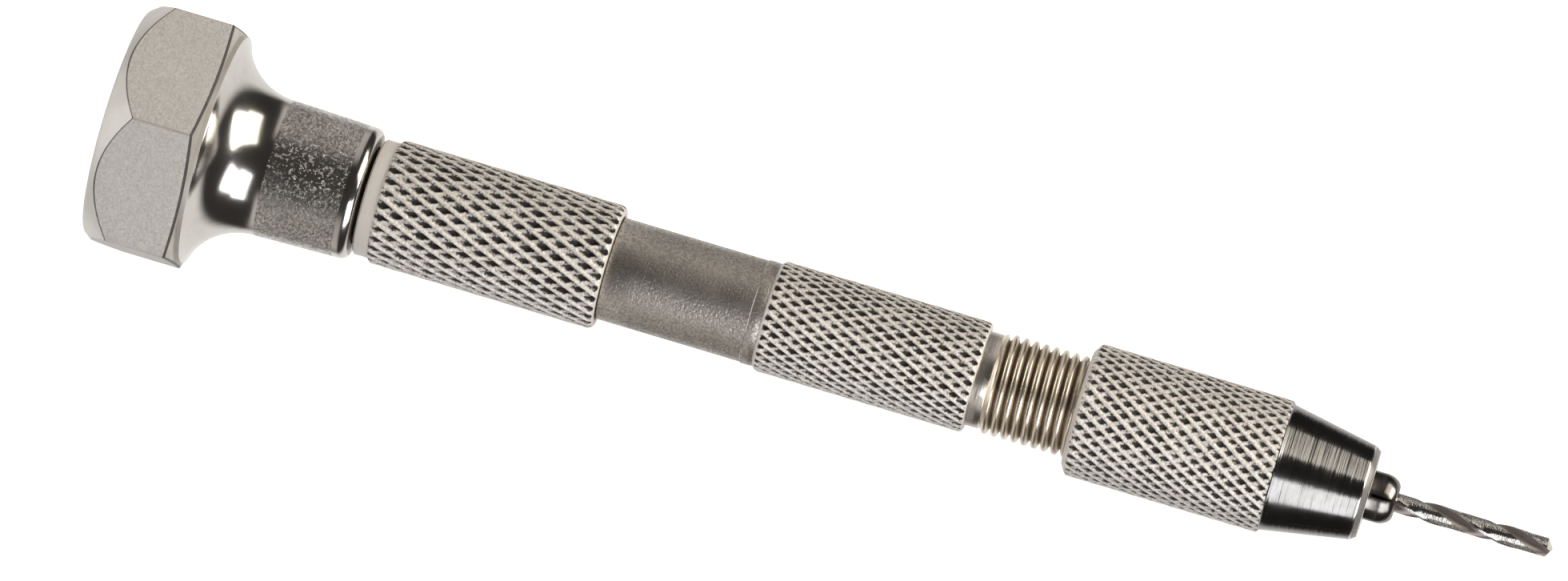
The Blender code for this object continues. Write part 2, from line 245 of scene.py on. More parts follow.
        # Each point's share of painted shade, read by the material.
        cave_shade = mesh.attributes.new("cave_shade", "FLOAT", "POINT")
        cave_shade.data.foreach_set("value", np.concatenate(self.cave_shade).astype(np.float32))
        for m in materials:
            mesh.materials.append(m)
        mesh.validate()
        mesh.shade_smooth()
        mesh.set_sharp_from_angle(angle=math.radians(crease))
        obj = bpy.data.objects.new(name, mesh)
        scene.collection.objects.link(obj)
        return obj


def columns(n):
    return TAU * np.arange(n) / n


def bend(a, corner, b, radius, steps=3):
    """Points of the round that replaces the corner of the line a, corner, b."""
    p, q, s = (np.array(k, float) for k in (a, corner, b))
    d1, d2 = (p - q) / np.linalg.norm(p - q), (s - q) / np.linalg.norm(s - q)
    half = math.acos(max(-1.0, min(1.0, float(d1 @ d2)))) / 2
    back = radius / math.tan(half)
    middle = (d1 + d2) / np.linalg.norm(d1 + d2)
    centre = q + middle * radius / math.sin(half)
    e1, e2 = q + d1 * back - centre, q + d2 * back - centre
    turn = math.pi - 2 * half
    points = []
    for k in range(steps + 1):
        t = k / steps
        w = (math.sin((1 - t) * turn) * e1 + math.sin(t * turn) * e2) / math.sin(turn)
        points.append(tuple(centre + w))
    return points


def rounded(points, steps=3):
    """A line of (station, radius[, round]) points with its marked corners rounded."""
    line = []
    for k, p in enumerate(points):
        if len(p) == 3 and 0 < k < len(points) - 1:
            line += bend(points[k - 1][:2], p[:2], points[k + 1][:2], p[2], steps)
        else:
            line.append(tuple(p[:2]))
    return line


def knurl(skin, start, x1, radius, teeth, lead, pit, flats, angles, slot, ends, sag):
    """A knurl from the ring start to station x1: two crossing families of ridges, leaning over to one side as the knurling wheels leave them, with sunk diamonds between them. flats are half widths of the two families' tops, as shares of their spacing, ends the chamfers at the two ends, and sag how far the second family lies below the first."""
    x0 = float(start.x.mean())
    per = len(angles) // teeth
    step = lead / per
    xs = step * np.arange(math.ceil(x0 / step + 0.3), math.floor(x1 / step - 0.3) + 1)
    stations = list(xs) + [x1]

    def lean(t, flat, steep):
        """Depth share across one spacing: a flat top, a steep side and a long side."""
        t = t - np.floor(t)
        down = (t - flat) / steep
        back = (1 - flat - t) / (1 - 2 * flat - steep)
        return np.clip(np.minimum(down, back), 0, 1)

    def field(x, turn):
        u, v = teeth * turn / TAU + x / lead, teeth * turn / TAU - x / lead
        return lean(-u, flats[1], 0.30), lean(v, flats[0], 0.24)

    def uneven(x, turn):
        """A steady random share for each diamond."""
        u, v = teeth * turn / TAU + x / lead, teeth * turn / TAU - x / lead
        mixed = np.sin(np.floor(u) % teeth * 12.9898 + np.floor(v) % teeth * 78.233) * 4375.85
        return mixed - np.floor(mixed)

    here = x0
    for x in stations:
        hu, hv = field(x, angles)
        low = np.minimum(hu, hv)
        chance = uneven(x, angles)
        worn = 1 - (1 - np.clip(hv * 2.2, 0, 1)) ** 2
        depth = np.maximum(pit * (0.70 + 0.30 * chance) * low ** 0.85, sag * worn)
        limit = min((x - x0) / ends[0][0], 1.0) * ends[0][1] - ends[0][1]
        limit = min(limit, min((x1 - x) / ends[1][0], 1.0) * ends[1][1] - ends[1][1])
        r = np.minimum(radius - depth, radius + limit)
        # Painted shade share for the material: dark in the diamond hollows, a painted shadow line along one side of
        # each ridge of one family, and a little everywhere off that family's tops, so those tops stand as painted
        # highlights.
        side = teeth * angles / TAU - x / lead
        side = np.abs(side - np.floor(side) - flats[0] - 0.16)
        cave_shade = np.maximum((1.0 + 0.9 * chance) * low, 0.52 + 0.22 * chance - side / 0.26)
        cave_shade = np.clip(np.maximum(cave_shade, np.clip(0.4 * hv, 0, 0.12)), 0, 1)
        row = skin.ring(x, r, angles, cave_shade)
        hu, hv = field((here + x) / 2, angles + TAU / len(angles) / 2)
        skin.join(start, row, slot, hv < hu)
        start, here = row, x
    return start


# ------------------------------------------------------------------ materials


class Graph:
    """A material's node tree with short ways to add nodes."""

    def __init__(self, name):
        self.material = bpy.data.materials.new(name)
        self.material.use_nodes = True
        self.tree = self.material.node_tree
        self.tree.nodes.clear()
        out = self.tree.nodes.new("ShaderNodeOutputMaterial")
        self.shader = self.tree.nodes.new("ShaderNodeBsdfPrincipled")
        self.tree.links.new(self.shader.outputs[0], out.inputs["Surface"])

    def set(self, socket, value):
        if isinstance(value, bpy.types.NodeSocket):
            self.tree.links.new(value, socket)
        else:
            socket.default_value = value

    def node(self, kind, inputs=None, **settings):
        node = self.tree.nodes.new("ShaderNode" + kind)
        for key, value in settings.items():
            setattr(node, key, value)
        for key, value in (inputs or {}).items():
            self.set(node.inputs[key], value)
        return node

    def math(self, operation, a, b=0.0, c=0.0):
        return self.node("Math", {0: a, 1: b, 2: c}, operation=operation).outputs[0]

    def noise(self, vector, scale, detail=3.0, roughness=0.55, distortion=0.0):
        return self.node(
            "TexNoise",
            {
                "Vector": vector,
                "Scale": scale,
                "Detail": detail,
                "Roughness": roughness,
                "Distortion": distortion,
            },
        ).outputs["Fac"]

    def spread(self, value, low, high, to_low, to_high, soft=False):
        return self.node(
            "MapRange",
            {
                "Value": value,
                "From Min": low,
                "From Max": high,
                "To Min": to_low,
                "To Max": to_high,
            },
            interpolation_type="SMOOTHSTEP" if soft else "LINEAR",
        ).outputs[0]

    def mix(self, share, a, b):
        node = self.tree.nodes.new("ShaderNodeMix")
        node.data_type = "RGBA"
        self.set(node.inputs["Factor"], share)
        self.set(node.inputs[6], a)
        self.set(node.inputs[7], b)
        return node.outputs[2]


def rgb(r, g, b):
    return (r, g, b, 1.0)


def metal(
    name,
    light,
    dark,
    rough,
    blotch=(0.35, 0.5),
    turning=(5.0, 0.0),
    grain=(9.0, 0.0),
    scratch=0.0,
    pit_shade=None,
    hollow=(0.18, 0.66),
    below_crest_shade=None,
    specks=None,
    scuffs=None,
    metallic=1.0,
    gap_shade_radius=None,
):
    """A worn metal surface. light and dark are its clean and tarnished colours, rough its two roughness limits, turning
    the lathe's lines (per mm, height in micrometres), grain a fine unevenness (per mm, micrometres), pit_shade the
    colour of the painted shade in hollows, hollow the depths over which it sets in and below_crest_shade the painted
    shade just below the crests, which leaves the crests as painted highlights, specks a scatter of small dark spots
    (per mm, share), scuffs a scatter of rough ones (per mm, roughness) and gap_shade_radius the radius beyond which it
    is painted near black, painted shade in the gap round it.
    """
    g = Graph(name)
    place = g.node("TexCoord").outputs["Object"]
    mm = g.node("VectorMath", {0: place, "Scale": 1000.0}, operation="SCALE").outputs[0]
    axes = g.node("SeparateXYZ", {0: mm})
    x, y, z = axes.outputs
    angle = g.math("ARCTAN2", z, y)
    radius = g.math("SQRT", g.math("ADD", g.math("MULTIPLY", y, y), g.math("MULTIPLY", z, z)))
    around = g.node("CombineXYZ", {0: x, 1: radius, 2: g.math("MULTIPLY", angle, 0.12)}).outputs[0]

    cloud = g.noise(mm, blotch[0], 4.0, 0.6)
    share = g.spread(cloud, 0.5 - 0.5 * blotch[1], 0.5 + 0.5 * blotch[1], 0.0, 1.0, True)
    lines = g.noise(around, turning[0], 3.0, 0.65)
    fine = g.noise(mm, grain[0], 3.0, 0.6)
    tint = g.math("MULTIPLY_ADD", lines, 0.35, g.math("MULTIPLY", share, 0.65))
    colour = g.mix(tint, light, dark)
    rough_value = g.spread(g.math("MULTIPLY_ADD", fine, 0.5, g.math("MULTIPLY", share, 0.5)), 0.25, 0.75, *rough)

    if scratch:
        marks = None
        for k, (turn, stretch) in enumerate(((0.35, 34.0), (1.25, 40.0), (2.35, 30.0))):
            spun = g.node(
                "Mapping",
                {"Vector": mm, "Rotation": (0.3 * k, turn, 0.5 + turn), "Scale": (1.0, 1.0, 1.0)},
            ).outputs[0]
            long = g.node("VectorMath", {0: spun, 1: (0.22, stretch / 4, stretch / 4)}, operation="MULTIPLY").outputs[0]
            line = g.spread(g.noise(long, 1.0, 2.0, 0.5), 0.60, 0.70, 0.0, 1.0, True)
            marks = line if marks is None else g.math("MAXIMUM", marks, line)
        colour = g.mix(g.math("MULTIPLY", marks, 0.30 * scratch), colour, dark)
        rough_value = g.math("MULTIPLY_ADD", marks, 0.10 * scratch, rough_value)

    if specks:
        spots = g.noise(mm, specks[0], 4.0, 0.7)
        spots = g.spread(spots, 0.45, 0.57, 0.0, specks[1], True)
        colour = g.mix(spots, colour, rgb(*(0.30 * c for c in dark[:3])))
        rough_value = g.math("MULTIPLY_ADD", spots, 0.20, rough_value)

    if scuffs:
        rubbed = g.spread(g.noise(mm, scuffs[0], 3.0, 0.7), 0.56, 0.63, 0.0, 1.0, True)
        rough_value = g.math("MULTIPLY_ADD", rubbed, scuffs[1], rough_value)
        fine = g.math("MULTIPLY", fine, g.math("MULTIPLY_ADD", rubbed, 2.5, 1.0))

    # Painted shade: hollows darken towards the shade colour and the band off the crests towards a middle tone, so the
    # crests stand as painted highlights; the noise only makes that band's edge ragged.
    if pit_shade:
        cave_shade = g.node("Attribute", attribute_name="cave_shade").outputs["Fac"]
        if below_crest_shade:
            ragged = g.spread(g.noise(mm, 5.0, 3.0, 0.75), 0.3, 0.7, -0.36, 0.36)
            cave_shade = g.math("ADD", cave_shade, ragged)
        colour = g.mix(g.spread(cave_shade, 0.0, 0.12, 0.0, 0.55), colour, below_crest_shade) if below_crest_shade else colour
        deep = g.spread(cave_shade, hollow[0], hollow[1], 0.0, 1.0, True)
        colour = g.mix(deep, colour, pit_shade)
        rough_value = g.math("MULTIPLY_ADD", deep, 0.10, rough_value)

    # Painted shade: beyond the given radius the surface is darkened to near black, as shade in the gap round it.
    if gap_shade_radius:
        gap_shade_share = g.spread(radius, gap_shade_radius - 0.35, gap_shade_radius, 0.0, 1.0, True)
        colour = g.mix(gap_shade_share, colour, rgb(0.045, 0.035, 0.025))
        rough_value = g.math("MULTIPLY_ADD", gap_shade_share, 0.25, rough_value)

    g.set(g.shader.inputs["Base Color"], colour)
    g.set(g.shader.inputs["Roughness"], rough_value)
    g.shader.inputs["Metallic"].default_value = metallic

    height = g.math(
        "MULTIPLY_ADD", lines, turning[1], g.math("MULTIPLY", fine, grain[1])
    )
    bump = g.node("Bump", {"Strength": 1.0, "Distance": 1e-6, "Height": height})
    g.set(g.shader.inputs["Normal"], bump.outputs[0])
    return g.material


NICKEL = rgb(0.66, 0.635, 0.605)
NICKEL_DULL = rgb(0.54, 0.51, 0.475)

satin = metal(
    "satin_nickel", rgb(0.78, 0.745, 0.705), rgb(0.48, 0.45, 0.42), (0.38, 0.54), blotch=(4.6, 0.50), grain=(6.5, 34.0), scratch=3.0, metallic=0.20
)
turned_nickel = metal(
    "turned_nickel", rgb(0.82, 0.79, 0.755), rgb(0.70, 0.67, 0.63), (0.34, 0.46), turning=(5.0, 12.0), metallic=0.25
)
corner_finish = metal("corner_nickel", rgb(0.66, 0.63, 0.59), rgb(0.50, 0.47, 0.43), (0.30, 0.42), grain=(6.0, 20.0), metallic=0.35)
# Painted shade: a near-black matte finish for the fillet along the hexagon's front edge, standing for a dark line of
# shade.
dark_edge_shade = metal("painted_shade_edge_nickel", rgb(0.07, 0.065, 0.06), rgb(0.035, 0.03, 0.026), (0.36, 0.48), grain=(4.0, 60.0), metallic=0.0)
edge_finish = metal("edge_nickel", rgb(0.36, 0.345, 0.325), rgb(0.27, 0.25, 0.23), (0.18, 0.30), grain=(6.0, 8.0))
rim_finish = metal(
    "rim_nickel", rgb(0.78, 0.735, 0.68), rgb(0.68, 0.635, 0.58), (0.46, 0.58), turning=(4.0, 6.0), grain=(7.0, 5.0), metallic=0.15
)
mirror = metal("polished_nickel", rgb(0.72, 0.695, 0.665), rgb(0.62, 0.59, 0.55), (0.13, 0.185), turning=(3.0, 2.0))
front_finish = metal(
    "front_nickel", rgb(0.50, 0.475, 0.44), rgb(0.34, 0.31, 0.27), (0.42, 0.54), turning=(5.0, 14.0), metallic=0.20
)
neck = metal(
    "neck_nickel", rgb(0.76, 0.725, 0.69), rgb(0.52, 0.49, 0.46), (0.12, 0.20), turning=(4.0, 5.0), grain=(4.4, 32.0), specks=(3.4, 0.60), scuffs=(3.6, 0.24), metallic=0.97
)
# Knurl finishes: near-white crests as painted highlights, a darker band below them and near-black hollows as painted
# shade.
knurled = metal(
    "knurled_nickel", rgb(1.0, 0.95, 0.885), rgb(0.95, 0.895, 0.83), (0.24, 0.34), pit_shade=rgb(0.024, 0.020, 0.017), below_crest_shade=rgb(0.54, 0.495, 0.45), grain=(9.0, 62.0), metallic=0.34
)
nut_knurl = metal(
    "nut_knurl_nickel", rgb(1.0, 0.95, 0.885), rgb(0.95, 0.895, 0.83), (0.24, 0.34), pit_shade=rgb(0.026, 0.022, 0.019), below_crest_shade=rgb(0.56, 0.515, 0.47), grain=(9.0, 62.0), metallic=0.34
)
shank_finish = metal(
    "shank_nickel", rgb(0.68, 0.635, 0.585), rgb(0.52, 0.475, 0.43), (0.30, 0.40), turning=(9.0, 11.0), grain=(5.0, 34.0), specks=(4.6, 0.50)
)
# Thread finish: its roots are darkened as painted shade.
thread_finish = metal(
    "thread_nickel", rgb(0.91, 0.825, 0.71), rgb(0.77, 0.685, 0.565), (0.26, 0.36), pit_shade=rgb(0.27, 0.225, 0.178), hollow=(0.40, 1.0), turning=(9.0, 13.0)
)
relief_finish = metal(
    "relief_nickel", rgb(0.66, 0.62, 0.575), rgb(0.54, 0.495, 0.44), (0.26, 0.36), turning=(9.0, 15.0)
)
cone_finish = metal("cone_nickel", rgb(0.245, 0.242, 0.24), rgb(0.165, 0.16, 0.152), (0.13, 0.22), turning=(2.6, 46.0))
nose_finish = metal("nose_nickel", rgb(0.29, 0.278, 0.26), rgb(0.20, 0.19, 0.175), (0.28, 0.40), turning=(6.0, 16.0), metallic=0.35)
bore_finish = metal("bored_nickel", rgb(0.56, 0.53, 0.49), rgb(0.42, 0.39, 0.36), (0.30, 0.46), turning=(5.0, 14.0))
gunmetal = metal("hardened_steel", rgb(0.30, 0.28, 0.265), rgb(0.20, 0.185, 0.17), (0.16, 0.26), turning=(4.0, 6.0))
drill_flute = metal(
    "drill_flute_steel", rgb(0.235, 0.200, 0.185), rgb(0.165, 0.138, 0.124), (0.32, 0.44), grain=(10.0, 6.0), metallic=0.40
)
drill_land = metal("drill_land_steel", rgb(0.76, 0.745, 0.72), rgb(0.60, 0.575, 0.55), (0.13, 0.22), turning=(10.0, 20.0), grain=(5.0, 9.0))
drill_point = metal("drill_point_steel", rgb(0.74, 0.72, 0.66), rgb(0.58, 0.55, 0.49), (0.26, 0.38), grain=(6.0, 14.0), metallic=0.55)
# The washer's rim beyond 3.6 mm, seen in the gap between head and sleeve, is painted near black: painted shade.
brass = metal(
    "bearing_brass", rgb(0.76, 0.56, 0.27), rgb(0.60, 0.42, 0.19), (0.26, 0.40), turning=(6.0, 10.0), gap_shade_radius=3.6
)
zinc = metal("plated_steel", rgb(0.60, 0.60, 0.60), rgb(0.46, 0.45, 0.43), (0.28, 0.44), turning=(6.0, 10.0), grain=(8.0, 8.0))


# --------------------------------------------------------------- swivel head

HEX_APOTHEM = 9.30
PALM = 8.84
SLOPE = math.tan(math.radians(37.9))
HEX_END, FRONT = 7.42, 0.18


def hex_columns(apothem, corner, per_flat, per_corner):
    """Angles and distances of points along a hexagon with slightly rounded corners, and which of its faces belong to the corners."""
    points, at_corner = [], []
    half = (apothem - corner) * math.tan(math.radians(30))
    for k in range(6):
        b = math.radians(30 + 60 * k)
        n, t = np.array([math.cos(b), math.sin(b)]), np.array([-math.sin(b), math.cos(b)])
        for i in range(per_flat + 1):
            points.append(apothem * n + t * half * (2 * i / per_flat - 1))
        centre = (apothem - corner) * n + t * half
        for i in range(1, per_corner):
            a = b + math.radians(60) * i / per_corner
            points.append(centre + corner * np.array([math.cos(a), math.sin(a)]))
        at_corner += [False] * per_flat + [True] * per_corner
    points = np.array(points)
    angles = np.unwrap(np.arctan2(points[:, 1], points[:, 0]))
    return angles, np.hypot(points[:, 0], points[:, 1]), np.array(at_corner)


around, reach, at_corner = hex_columns(HEX_APOTHEM, 0.20, 24, 5)
flats_slot = np.where(at_corner, 7, 0)
skin = Skin()
last = skin.point(0.0)
for r in (1.0, 3.0, 5.0, 7.0, 8.2):
    last = skin.join(last, skin.ring(0.0, r, around), 1)
edge = bend((0.0, 0.0), (0.0, PALM), (1.0, PALM + SLOPE), 0.30)
last = skin.path(last, edge, around, 1)
meet = (reach - PALM) / SLOPE
lean = math.hypot(1.0, SLOPE)
soft, turn = 0.22, math.radians(37.9)
back = soft * math.tan(turn / 2)
first = (meet - back / lean, reach - back * SLOPE / lean)
for t in (0.33, 0.67, 1.0):
    x = edge[-1][0] + (first[0] - edge[-1][0]) * t
    r = edge[-1][1] + (first[1] - edge[-1][1]) * t
    last = skin.join(last, skin.ring(x, r, around), 1)
for k in range(1, 5):
    a = turn * (1 - k / 4)
    x = meet + back - soft * math.sin(a)
    r = reach - soft * (1 - math.cos(a))
    last = skin.join(last, skin.ring(x, r, around), 5)
front = HEX_END - (reach - HEX_APOTHEM) * FRONT
soft, turn = 0.21, math.pi / 2 - math.atan(FRONT)
fall = soft * math.tan(turn / 2)
for t in (0.25, 0.5, 0.75, 0.93, 1.0):
    x = (meet + back) + (front - fall - meet - back) * t
    last = skin.join(last, skin.ring(x, reach, around), flats_slot)
# The front fillet of the flats takes the near-black finish: painted shade.
for k in range(1, 5):
    a = turn * k / 4
    x = front - fall + soft * math.sin(a)
    last = skin.join(last, skin.ring(x, reach - soft * (1 - math.cos(a)), around), 8)
for t in (0.5, 1.0):
    r = last.r + (9.12 - last.r) * t
    last = skin.join(last, skin.ring(HEX_END + (HEX_APOTHEM - r) * FRONT, r, around), 6)
FLARE_CENTRE, FLARE = (12.63, 10.40), 5.0
arc = []
top = math.acos((FLARE_CENTRE[1] - 9.05) / FLARE)
for k in range(45):
    a = top * (1 - k / 44)
    arc.append((FLARE_CENTRE[0] - FLARE * math.sin(a), FLARE_CENTRE[1] - FLARE * math.cos(a)))
lip = bend((HEX_END + (HEX_APOTHEM - 9.12) * FRONT, 9.12), arc[0], arc[1], 0.035, 3)
last = skin.path(last, lip, around, 6)
last = skin.path(last, arc[2:], around, 2)
last = skin.path(last, [(14.0, 5.361), (15.6, 5.315), (17.2, 5.27), (18.8, 5.224)], around, 3)
tail = []
for k in range(13):
    t = math.radians(7.3 * k)
    tail.append((19.17 + 0.75 * math.sin(t), 4.77 + 0.443 * math.cos(t)))
last = skin.path(last, tail, around, 2)
tail = [(19.92, 4.70), (19.92, 3.88), (19.89, 3.85), (19.52, 3.85), (19.52, 1.68), (19.45, 1.60), (11.4, 1.60)]
last = skin.path(last, tail, around, 4)
skin.join(last, skin.point(10.44), 4)
head = skin.build("palm_head", [satin, turned_nickel, mirror, neck, bore_finish, edge_finish, front_finish, corner_finish, dark_edge_shade])


# ------------------------------------------------- washers and pivot screw


def lathe_piece(name, points, n, materials, slot_of=None):
    """A plain turned piece whose profile closes on itself or ends on the axis."""
    line = rounded(points)
    skin = Skin()
    angles = columns(n)
    first = last = None
    for x, r in line:
        now = skin.point(x) if r < 1e-6 else skin.ring(x, r, angles)
        if last is None:
            first = now
        else:
            skin.join(last, now, 0)
        last = now
    if len(first.idx) > 1:
        skin.close(last, first, 0)
    return skin.build(name, materials)


def washer(name, x0, x1, hole, outside, material):
    return lathe_piece(
        name,
        [
            (x0 + 0.02, hole + 0.02),
            (x0, hole + 0.06),
            (x0, outside - 0.4),
            (x0, outside, 0.10),
            (x1, outside, 0.10),
            (x1, outside - 0.4),
            (x1, hole + 0.06),
            (x1 - 0.06, hole),
            (x0 + 0.06, hole),
        ],
        72,
        [material],
    )


thrust = washer("brass_thrust_washer", 19.59, 20.17, 2.0, 3.70, brass)
retainer = washer("steel_retaining_washer", 22.67, 23.17, 2.0, 2.95, zinc)


def settle(obj):
    """Turns an object's modifiers into its mesh and drops the cutters they used."""
    cutters = [m.object for m in obj.modifiers]
    bpy.context.view_layer.update()
    graph = bpy.context.evaluated_depsgraph_get()
    mesh = bpy.data.meshes.new_from_object(obj.evaluated_get(graph), depsgraph=graph)
    mesh.name = obj.data.name + "_cut"
    obj.modifiers.clear()
    obj.data = mesh
    for c in cutters:
        bpy.data.objects.remove(c, do_unlink=True)
    mesh.shade_smooth()
    mesh.set_sharp_from_angle(angle=math.radians(32))


def cut(obj, name, x0, x1, wide, tall, turn=0.0):
    bm = bmesh.new()
    bmesh.ops.create_cube(bm, size=1.0)
    c, s = math.cos(turn), math.sin(turn)
    for v in bm.verts:
        y, z = v.co.y * wide, v.co.z * tall
        v.co = Vector(((x0 + x1) / 2 + v.co.x * (x1 - x0), y * c - z * s, y * s + z * c)) * MM
    mesh = bpy.data.meshes.new(name)
    bm.to_mesh(mesh)
    bm.free()
    cutter = bpy.data.objects.new(name, mesh)
    scene.collection.objects.link(cutter)
    cutter.hide_render = True
    mod = obj.modifiers.new(name, "BOOLEAN")
    mod.operation = "DIFFERENCE"
    mod.solver = "EXACT"
    mod.object = cutter


skin = Skin()
n = columns(72)
last = skin.point(11.8)
last = skin.path(last, [(11.8, 0.6), (11.8, 1.12)], n, 0)
low = skin.join(last, skin.ring(12.02, 1.24, n), 0)
high = skin.ring(19.12, 1.22, n)
M3 = [(0.0, 1.20), (0.06, 1.215), (0.40, 1.46), (0.46, 1.495), (0.5, 1.50), (0.54, 1.495), (0.60, 1.46), (0.94, 1.215)]
skin.thread(low, high, 0.5, M3, 0.3, 0)
line = rounded(
    [
        (19.12, 1.22),
        (19.58, 1.22),
        (19.58, 1.80),
        (19.66, 1.88),
        (23.24, 1.88),
        (23.24, 2.60, 0.06),
        (24.6, 2.60),
        (25.00, 2.54, 0.2),
        (25.24, 2.25, 0.1),
        (25.24, 0.8),
    ]
)
last = skin.path(high, line[1:], n, 0)
skin.join(last, skin.point(25.24), 0)
screw = skin.build("shoulder_screw", [zinc])
cut(screw, "slot_tool", 24.54, 27.0, 0.60, 12.0)
settle(screw)


# --------------------------------------------------------------- rear sleeve

FRONT_PITCH, REAR_PITCH = 0.79375, 0.75
FRONT_PHASE = -0.27


def male(root, crest):
    return [
        (0.0, root + 0.015),
        (0.06, root + 0.045),
        (0.25, crest - 0.11),
        (0.32, crest - 0.035),
        (0.41, crest - 0.010),
        (0.5, crest),
        (0.59, crest - 0.010),
        (0.68, crest - 0.035),
        (0.75, crest - 0.11),
        (0.94, root + 0.045),
    ]


def female(root, crest):
    slope = (crest - root) / 0.43
    inner, outer = root + slope * 0.07 + 0.133, root + slope * 0.5 + 0.133
    return [
        (0.0, inner - 0.012),
        (0.07, inner),
        (0.12, inner + 0.05),
        (0.45, outer - 0.06),
        (0.5, outer - 0.01),
        (0.55, outer - 0.06),
        (0.88, inner + 0.05),
        (0.93, inner),
    ]


inside = columns(96)
skin = Skin()
outside = columns(434)
groove = 4.06
top_ring = skin.ring(39.2, groove, inside)
low_ring = skin.ring(31.7, groove, inside)
skin.thread(low_ring, top_ring, REAR_PITCH, female(3.23, 3.75), 0.35, 2, bore=True)
last = skin.path(
    low_ring,
    [
        (30.65, groove),
        (30.6, groove - 0.05),
        (30.6, 3.30),
        (26.4, 3.30),
        (22.6, 3.30),
        (22.6, 2.06),
        (22.54, 2.0),
        (20.30, 2.0),
        (20.24, 2.06),
        (20.24, 3.3),
    ],
    inside,
    2,
)
last = skin.join(last, skin.ring(20.24, 4.0, outside), 1)
last = skin.path(
    last,
    rounded([(20.24, 4.0), (20.24, 4.42, 0.05), (20.38, 4.575, 0.07), (20.9, 4.575), (21.42, 4.575)])[1:],
    outside,
    1,
)
last = knurl(skin, last, 39.44, 4.90, 31, 2.3, 0.36, (0.10, 0.06), outside, 0, ((0.30, 0.30), (0.22, 0.16)), 0.12)
last = skin.path(last, [(39.50, 4.66), (39.52, 4.60), (39.52, 4.35)], outside, 1)
last = skin.join(last, skin.ring(39.52, 4.16, inside), 1)
last = skin.join(last, skin.ring(39.42, groove, inside), 1)
skin.close(last, top_ring, 2)
sleeve = skin.build("knurled_sleeve", [knurled, rim_finish, bore_finish], crease=28)


# -------------------------------------------------------------------- barrel

skin = Skin()
outside = columns(396)
rear_ring = skin.ring(30.9, 3.15, inside)
high_ring = skin.ring(38.6, 3.23, inside)
skin.thread(rear_ring, high_ring, REAR_PITCH, male(3.23, 3.75), 0.35, 3)
last = skin.path(high_ring, [(39.54, 3.23), (39.58, 3.27), (39.58, 3.55)], inside, 3)
last = skin.join(last, skin.ring(39.58, 3.80, outside), 1)
last = skin.path(
    last,
    rounded(
        [
            (39.58, 3.80),
            (39.58, 4.03, 0.10),
            (42.4, 4.03),
            (45.3, 4.03),
            (48.2, 4.03),
            (51.02, 4.03),
        ]
    )[1:],
    outside,
    1,
)
last = skin.path(
    last,
    rounded(
        [
            (51.02, 4.03),
            (51.08, 4.03, 0.02),
            (51.16, 4.10, 0.03),
            (51.56, 4.10),
            (51.94, 4.10),
            (52.02, 4.08),
            (52.12, 4.08),
        ]
    )[1:],
    outside,
    1,
)
last = skin.path(last, [(52.26, 4.20)], outside, 2)
last = knurl(skin, last, 68.82, 4.36, 33, 1.69, 0.28, (0.10, 0.06), outside, 0, ((0.22, 0.16), (0.16, 0.12)), 0.075)
last = skin.path(last, [(68.88, 4.18), (68.90, 4.12), (68.90, 3.98)], outside, 2)
last = skin.join(last, skin.ring(68.90, 3.85, inside), 2)
last = skin.path(last, [(68.90, 3.75), (68.93, 3.72), (69.4, 3.72)], inside, 4)
low_ring = skin.join(last, skin.ring(69.95, 3.70, inside), 4)
high_ring = skin.ring(87.5, 3.33, inside)
skin.thread(low_ring, high_ring, FRONT_PITCH, male(3.42, 3.97), 0.45, 3, phase=FRONT_PHASE)
TAPER = (2.60 - 1.95) / 3.06
SEAT_END = 76.76 + 2.15
SEAT_START = SEAT_END + (2.75 - 1.95 - 0.08) / TAPER
last = skin.path(
    high_ring,
    [
        (87.5, 2.90),
        (87.35, 2.75),
        (SEAT_START, 2.75),
        (SEAT_END, 2.03),
        (76.16, 2.03),
        (75.86, 1.70),
        (52.9, 1.70),
        (52.1, 2.75),
        (42.0, 2.75),
        (30.98, 2.75),
        (30.9, 2.83),
    ],
    inside,
    5,
)
skin.close(last, rear_ring, 5)
barrel = skin.build(
    "grip_barrel", [knurled, shank_finish, rim_finish, thread_finish, relief_finish, bore_finish], crease=28
)


# ----------------------------------------------------------------- chuck nut

skin = Skin()
outside = columns(490)
low_ring = skin.ring(77.2, 4.20, inside)
last = skin.path(low_ring, [(76.98, 4.20), (76.88, 4.29), (76.88, 4.32)], inside, 2)
last = skin.join(last, skin.ring(76.88, 4.40, outside), 1)
last = skin.path(last, rounded([(76.88, 4.40), (76.88, 4.47, 0.03), (77.14, 4.90)])[1:], outside, 1)
last = knurl(skin, last, 92.61, 5.215, 35, 1.52, 0.24, (0.11, 0.07), outside, 0, ((0.24, 0.315), (0.10, 0.10)), 0.06)
last = skin.path(
    last,
    rounded(
        [
            (92.61, 5.11),
            (92.69, 4.985, 0.03),
            (92.90, 4.92, 0.05),
            (93.0, 4.90),
            (94.5, 4.627),
            (96.0, 4.354),
            (97.5, 4.081),
            (98.8, 3.844),
            (99.3, 3.753),
            (99.43, 3.729),
        ]
    )[1:],
    outside,
    3,
)
nose = ((99.43, 3.729), (99.50, 3.716), (99.98, 3.375), (100.0, 3.2))
last = skin.path(last, bend(*nose[:3], 0.25), outside, 5)
edge = bend(*nose[1:], 0.15)
last = skin.path(last, edge[:1], outside, 6)
last = skin.path(last, edge[1:], outside, 5)
last = skin.path(last, nose[3:], outside, 4)
MOUTH = 1.95 + 0.12 + TAPER * (102.16 - 2.15 - 100.0)
NUT_TAPER = 102.16 - 2.15 - (2.75 - 1.95 - 0.12) / TAPER
last = skin.join(last, skin.ring(100.0, 2.9, inside), 4)
last = skin.path(last, [(100.0, MOUTH + 0.10), (99.9, MOUTH + 0.021)], inside, 4)
last = skin.path(
    last,
    [(NUT_TAPER, 2.75), (89.1, 2.75), (89.1, 4.15), (89.05, 4.20)],
    inside,
    2,
)
